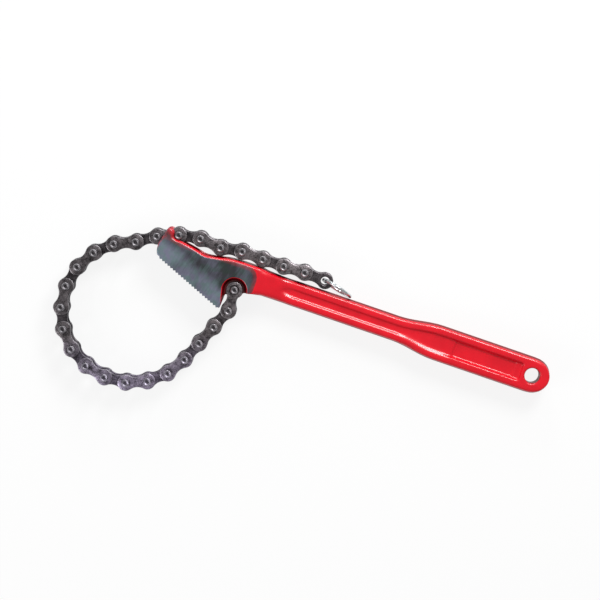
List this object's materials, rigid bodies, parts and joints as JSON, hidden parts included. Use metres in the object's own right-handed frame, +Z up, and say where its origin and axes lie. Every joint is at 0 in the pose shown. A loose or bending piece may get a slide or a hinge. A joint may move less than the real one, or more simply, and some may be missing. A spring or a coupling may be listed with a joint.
{
  "type": "chain wrench",
  "caption": "Chain wrench with a forged red handle, a toothed jaw head and a roller chain that hooks back on the head round a pipe or filter.",
  "frame": {"origin": "middle of the whole tool's bounding box, on the surface that the tool lies on", "axes": "+X along the handle towards its hanging hole, +Y towards the chain's tail, +Z up along the chain pins"},
  "size_m": [0.3592, 0.1309, 0.0249],
  "materials": {
    "red_paint": "glossy red paint on a forging; the head's sides are ground bare",
    "chain_steel": "dark oiled chain steel",
    "pin_steel": "dark hardened steel with bright riveted ends",
    "zinc": "bright zinc-plated wire"
  },
  "bodies": {
    "handle": {"handle": "red_paint", "anchor_pin": "pin_steel"},
    "link_01": {"outer_link_01": "chain_steel"},
    "link_02": {"inner_link_02": "chain_steel"},
    "link_03": {"outer_link_03": "chain_steel"},
    "link_04": {"inner_link_04": "chain_steel"},
    "link_05": {"outer_link_05": "chain_steel"},
    "link_06": {"inner_link_06": "chain_steel"},
    "link_07": {"outer_link_07": "chain_steel"},
    "link_08": {"inner_link_08": "chain_steel"},
    "link_09": {"outer_link_09": "chain_steel"},
    "link_10": {"inner_link_10": "chain_steel"},
    "link_11": {"outer_link_11": "chain_steel"},
    "link_12": {"inner_link_12": "chain_steel"},
    "link_13": {"outer_link_13": "chain_steel"},
    "link_14": {"inner_link_14": "chain_steel"},
    "link_15": {"outer_link_15": "chain_steel"},
    "link_16": {"inner_link_16": "chain_steel"},
    "link_17": {"outer_link_17": "chain_steel"},
    "link_18": {"inner_link_18": "chain_steel"},
    "link_19": {"outer_link_19": "chain_steel"},
    "link_20": {"inner_link_20": "chain_steel"},
    "link_21": {"outer_link_21": "chain_steel"},
    "link_22": {"inner_link_22": "chain_steel"},
    "link_23": {"outer_link_23": "chain_steel"},
    "link_24": {"inner_link_24": "chain_steel"},
    "link_25": {"outer_link_25": "chain_steel"},
    "link_26": {"inner_link_26": "chain_steel"},
    "roller_02": {"roller_02": "pin_steel"},
    "roller_03": {"roller_03": "pin_steel"},
    "roller_04": {"roller_04": "pin_steel"},
    "roller_05": {"roller_05": "pin_steel"},
    "roller_06": {"roller_06": "pin_steel"},
    "roller_07": {"roller_07": "pin_steel"},
    "roller_08": {"roller_08": "pin_steel"},
    "roller_09": {"roller_09": "pin_steel"},
    "roller_10": {"roller_10": "pin_steel"},
    "roller_11": {"roller_11": "pin_steel"},
    "roller_12": {"roller_12": "pin_steel"},
    "roller_13": {"roller_13": "pin_steel"},
    "roller_14": {"roller_14": "pin_steel"},
    "roller_15": {"roller_15": "pin_steel"},
    "roller_16": {"roller_16": "pin_steel"},
    "roller_17": {"roller_17": "pin_steel"},
    "roller_18": {"roller_18": "pin_steel"},
    "roller_19": {"roller_19": "pin_steel"},
    "roller_20": {"roller_20": "pin_steel"},
    "roller_21": {"roller_21": "pin_steel"},
    "roller_22": {"roller_22": "pin_steel"},
    "roller_23": {"roller_23": "pin_steel"},
    "roller_24": {"roller_24": "pin_steel"},
    "roller_25": {"roller_25": "pin_steel"},
    "roller_26": {"roller_26": "pin_steel"},
    "ring": {"wire_ring": "zinc"}
  },
  "joints": [
    {"name": "link_01_hinge", "type": "hinge", "parent": "handle", "child": "link_01", "pos_m": [-0.05717, 0.03162, 0.01247], "axis": [0, 0, 1], "range_deg": [0, 1]},
    {"name": "link_02_hinge", "type": "hinge", "parent": "link_01", "child": "link_02", "pos_m": [-0.05634, 0.01577, 0.01247], "axis": [0, 0, 1], "range_deg": [-10, 0]},
    {"name": "link_03_hinge", "type": "hinge", "parent": "link_02", "child": "link_03", "pos_m": [-0.0625, 0.00114, 0.01247], "axis": [0, 0, 1], "range_deg": [-10, 0]},
    {"name": "link_04_hinge", "type": "hinge", "parent": "link_03", "child": "link_04", "pos_m": [-0.06866, -0.01349, 0.01247], "axis": [0, 0, 1], "range_deg": [-10, 0]},
    {"name": "link_05_hinge", "type": "hinge", "parent": "link_04", "child": "link_05", "pos_m": [-0.07482, -0.02812, 0.01247], "axis": [0, 0, 1], "range_deg": [-4, 0]},
    {"name": "link_06_hinge", "type": "hinge", "parent": "link_05", "child": "link_06", "pos_m": [-0.08318, -0.04162, 0.01247], "axis": [0, 0, 1], "range_deg": [-4, 0]},
    {"name": "link_07_hinge", "type": "hinge", "parent": "link_06", "child": "link_07", "pos_m": [-0.09527, -0.0519, 0.01247], "axis": [0, 0, 1], "range_deg": [-2, 0]},
    {"name": "link_08_hinge", "type": "hinge", "parent": "link_07", "child": "link_08", "pos_m": [-0.10993, -0.05799, 0.01247], "axis": [0, 0, 1], "range_deg": [-2, 0]},
    {"name": "link_09_hinge", "type": "hinge", "parent": "link_08", "child": "link_09", "pos_m": [-0.12575, -0.05931, 0.01247], "axis": [0, 0, 1], "range_deg": [0, 2]},
    {"name": "link_10_hinge", "type": "hinge", "parent": "link_09", "child": "link_10", "pos_m": [-0.14122, -0.05571, 0.01247], "axis": [0, 0, 1], "range_deg": [0, 2]},
    {"name": "link_11_hinge", "type": "hinge", "parent": "link_10", "child": "link_11", "pos_m": [-0.15484, -0.04756, 0.01247], "axis": [0, 0, 1], "range_deg": [0, 2]},
    {"name": "link_12_hinge", "type": "hinge", "parent": "link_11", "child": "link_12", "pos_m": [-0.16531, -0.03563, 0.01247], "axis": [0, 0, 1], "range_deg": [0, 4]},
    {"name": "link_13_hinge", "type": "hinge", "parent": "link_12", "child": "link_13", "pos_m": [-0.17163, -0.02107, 0.01247], "axis": [0, 0, 1], "range_deg": [0, 10]},
    {"name": "link_14_hinge", "type": "hinge", "parent": "link_13", "child": "link_14", "pos_m": [-0.17319, -0.00527, 0.01247], "axis": [0, 0, 1], "range_deg": [0, 20]},
    {"name": "link_15_hinge", "type": "hinge", "parent": "link_14", "child": "link_15", "pos_m": [-0.16984, 0.01025, 0.01247], "axis": [0, 0, 1], "range_deg": [0, 20]},
    {"name": "link_16_hinge", "type": "hinge", "parent": "link_15", "child": "link_16", "pos_m": [-0.1619, 0.02399, 0.01247], "axis": [0, 0, 1], "range_deg": [0, 20]},
    {"name": "link_17_hinge", "type": "hinge", "parent": "link_16", "child": "link_17", "pos_m": [-0.15013, 0.03465, 0.01247], "axis": [0, 0, 1], "range_deg": [0, 20]},
    {"name": "link_18_hinge", "type": "hinge", "parent": "link_17", "child": "link_18", "pos_m": [-0.13567, 0.0412, 0.01247], "axis": [0, 0, 1], "range_deg": [0, 20]},
    {"name": "link_19_hinge", "type": "hinge", "parent": "link_18", "child": "link_19", "pos_m": [-0.12246, 0.05001, 0.01247], "axis": [0, 0, 1], "range_deg": [0, 20]},
    {"name": "link_20_hinge", "type": "hinge", "parent": "link_19", "child": "link_20", "pos_m": [-0.10777, 0.05602, 0.01247], "axis": [0, 0, 1], "range_deg": [0, 40]},
    {"name": "link_21_hinge", "type": "hinge", "parent": "link_20", "child": "link_21", "pos_m": [-0.0921, 0.05855, 0.01247], "axis": [0, 0, 1], "range_deg": [0, 40]},
    {"name": "link_22_hinge", "type": "hinge", "parent": "link_21", "child": "link_22", "pos_m": [-0.07629, 0.05707, 0.01247], "axis": [0, 0, 1], "range_deg": [0, 40]},
    {"name": "link_23_hinge", "type": "hinge", "parent": "link_22", "child": "link_23", "pos_m": [-0.06062, 0.05961, 0.01247], "axis": [0, 0, 1], "range_deg": [0, 40]},
    {"name": "link_24_hinge", "type": "hinge", "parent": "link_23", "child": "link_24", "pos_m": [-0.04475, 0.05908, 0.01247], "axis": [0, 0, 1], "range_deg": [0, 40]},
    {"name": "link_25_hinge", "type": "hinge", "parent": "link_24", "child": "link_25", "pos_m": [-0.02888, 0.05902, 0.01247], "axis": [0, 0, 1], "range_deg": [0, 40]},
    {"name": "link_26_hinge", "type": "hinge", "parent": "link_25", "child": "link_26", "pos_m": [-0.01303, 0.05984, 0.01247], "axis": [0, 0, 1], "range_deg": [0, 40]},
    {"name": "roller_02_spin", "type": "hinge", "parent": "link_02", "child": "roller_02", "pos_m": [-0.05634, 0.01577, 0.01247], "axis": [0, 0, 1], "continuous": true},
    {"name": "roller_03_spin", "type": "hinge", "parent": "link_02", "child": "roller_03", "pos_m": [-0.0625, 0.00114, 0.01247], "axis": [0, 0, 1], "continuous": true},
    {"name": "roller_04_spin", "type": "hinge", "parent": "link_04", "child": "roller_04", "pos_m": [-0.06866, -0.01349, 0.01247], "axis": [0, 0, 1], "continuous": true},
    {"name": "roller_05_spin", "type": "hinge", "parent": "link_04", "child": "roller_05", "pos_m": [-0.07482, -0.02812, 0.01247], "axis": [0, 0, 1], "continuous": true},
    {"name": "roller_06_spin", "type": "hinge", "parent": "link_06", "child": "roller_06", "pos_m": [-0.08318, -0.04162, 0.01247], "axis": [0, 0, 1], "continuous": true},
    {"name": "roller_07_spin", "type": "hinge", "parent": "link_06", "child": "roller_07", "pos_m": [-0.09527, -0.0519, 0.01247], "axis": [0, 0, 1], "continuous": true},
    {"name": "roller_08_spin", "type": "hinge", "parent": "link_08", "child": "roller_08", "pos_m": [-0.10993, -0.05799, 0.01247], "axis": [0, 0, 1], "continuous": true},
    {"name": "roller_09_spin", "type": "hinge", "parent": "link_08", "child": "roller_09", "pos_m": [-0.12575, -0.05931, 0.01247], "axis": [0, 0, 1], "continuous": true},
    {"name": "roller_10_spin", "type": "hinge", "parent": "link_10", "child": "roller_10", "pos_m": [-0.14122, -0.05571, 0.01247], "axis": [0, 0, 1], "continuous": true},
    {"name": "roller_11_spin", "type": "hinge", "parent": "link_10", "child": "roller_11", "pos_m": [-0.15484, -0.04756, 0.01247], "axis": [0, 0, 1], "continuous": true},
    {"name": "roller_12_spin", "type": "hinge", "parent": "link_12", "child": "roller_12", "pos_m": [-0.16531, -0.03563, 0.01247], "axis": [0, 0, 1], "continuous": true},
    {"name": "roller_13_spin", "type": "hinge", "parent": "link_12", "child": "roller_13", "pos_m": [-0.17163, -0.02107, 0.01247], "axis": [0, 0, 1], "continuous": true},
    {"name": "roller_14_spin", "type": "hinge", "parent": "link_14", "child": "roller_14", "pos_m": [-0.17319, -0.00527, 0.01247], "axis": [0, 0, 1], "continuous": true},
    {"name": "roller_15_spin", "type": "hinge", "parent": "link_14", "child": "roller_15", "pos_m": [-0.16984, 0.01025, 0.01247], "axis": [0, 0, 1], "continuous": true},
    {"name": "roller_16_spin", "type": "hinge", "parent": "link_16", "child": "roller_16", "pos_m": [-0.1619, 0.02399, 0.01247], "axis": [0, 0, 1], "continuous": true},
    {"name": "roller_17_spin", "type": "hinge", "parent": "link_16", "child": "roller_17", "pos_m": [-0.15013, 0.03465, 0.01247], "axis": [0, 0, 1], "continuous": true},
    {"name": "roller_18_spin", "type": "hinge", "parent": "link_18", "child": "roller_18", "pos_m": [-0.13567, 0.0412, 0.01247], "axis": [0, 0, 1], "continuous": true},
    {"name": "roller_19_spin", "type": "hinge", "parent": "link_18", "child": "roller_19", "pos_m": [-0.12246, 0.05001, 0.01247], "axis": [0, 0, 1], "continuous": true},
    {"name": "roller_20_spin", "type": "hinge", "parent": "link_20", "child": "roller_20", "pos_m": [-0.10777, 0.05602, 0.01247], "axis": [0, 0, 1], "continuous": true},
    {"name": "roller_21_spin", "type": "hinge", "parent": "link_20", "child": "roller_21", "pos_m": [-0.0921, 0.05855, 0.01247], "axis": [0, 0, 1], "continuous": true},
    {"name": "roller_22_spin", "type": "hinge", "parent": "link_22", "child": "roller_22", "pos_m": [-0.07629, 0.05707, 0.01247], "axis": [0, 0, 1], "continuous": true},
    {"name": "roller_23_spin", "type": "hinge", "parent": "link_22", "child": "roller_23", "pos_m": [-0.06062, 0.05961, 0.01247], "axis": [0, 0, 1], "continuous": true},
    {"name": "roller_24_spin", "type": "hinge", "parent": "link_24", "child": "roller_24", "pos_m": [-0.04475, 0.05908, 0.01247], "axis": [0, 0, 1], "continuous": true},
    {"name": "roller_25_spin", "type": "hinge", "parent": "link_24", "child": "roller_25", "pos_m": [-0.02888, 0.05902, 0.01247], "axis": [0, 0, 1], "continuous": true},
    {"name": "roller_26_spin", "type": "hinge", "parent": "link_26", "child": "roller_26", "pos_m": [-0.01303, 0.05984, 0.01247], "axis": [0, 0, 1], "continuous": true},
    {"name": "ring_swing", "type": "hinge", "parent": "link_26", "child": "ring", "pos_m": [0.00282, 0.0589, 0.01247], "axis": [0, 0, 1], "range_deg": [0, 120]}
  ],
  "couplings": [
    {"joint": "link_01_hinge", "follows": "link_14_hinge", "ratio": 0.05},
    {"joint": "link_02_hinge", "follows": "link_14_hinge", "ratio": -0.5},
    {"joint": "link_03_hinge", "follows": "link_14_hinge", "ratio": -0.5},
    {"joint": "link_04_hinge", "follows": "link_14_hinge", "ratio": -0.5},
    {"joint": "link_05_hinge", "follows": "link_14_hinge", "ratio": -0.2},
    {"joint": "link_06_hinge", "follows": "link_14_hinge", "ratio": -0.2},
    {"joint": "link_07_hinge", "follows": "link_14_hinge", "ratio": -0.1},
    {"joint": "link_08_hinge", "follows": "link_14_hinge", "ratio": -0.1},
    {"joint": "link_09_hinge", "follows": "link_14_hinge", "ratio": 0.1},
    {"joint": "link_10_hinge", "follows": "link_14_hinge", "ratio": 0.1},
    {"joint": "link_11_hinge", "follows": "link_14_hinge", "ratio": 0.1},
    {"joint": "link_12_hinge", "follows": "link_14_hinge", "ratio": 0.2},
    {"joint": "link_13_hinge", "follows": "link_14_hinge", "ratio": 0.5},
    {"joint": "link_15_hinge", "follows": "link_14_hinge", "ratio": 1},
    {"joint": "link_16_hinge", "follows": "link_14_hinge", "ratio": 1},
    {"joint": "link_17_hinge", "follows": "link_14_hinge", "ratio": 1},
    {"joint": "link_18_hinge", "follows": "link_14_hinge", "ratio": 1},
    {"joint": "link_19_hinge", "follows": "link_14_hinge", "ratio": 1}
  ]
}
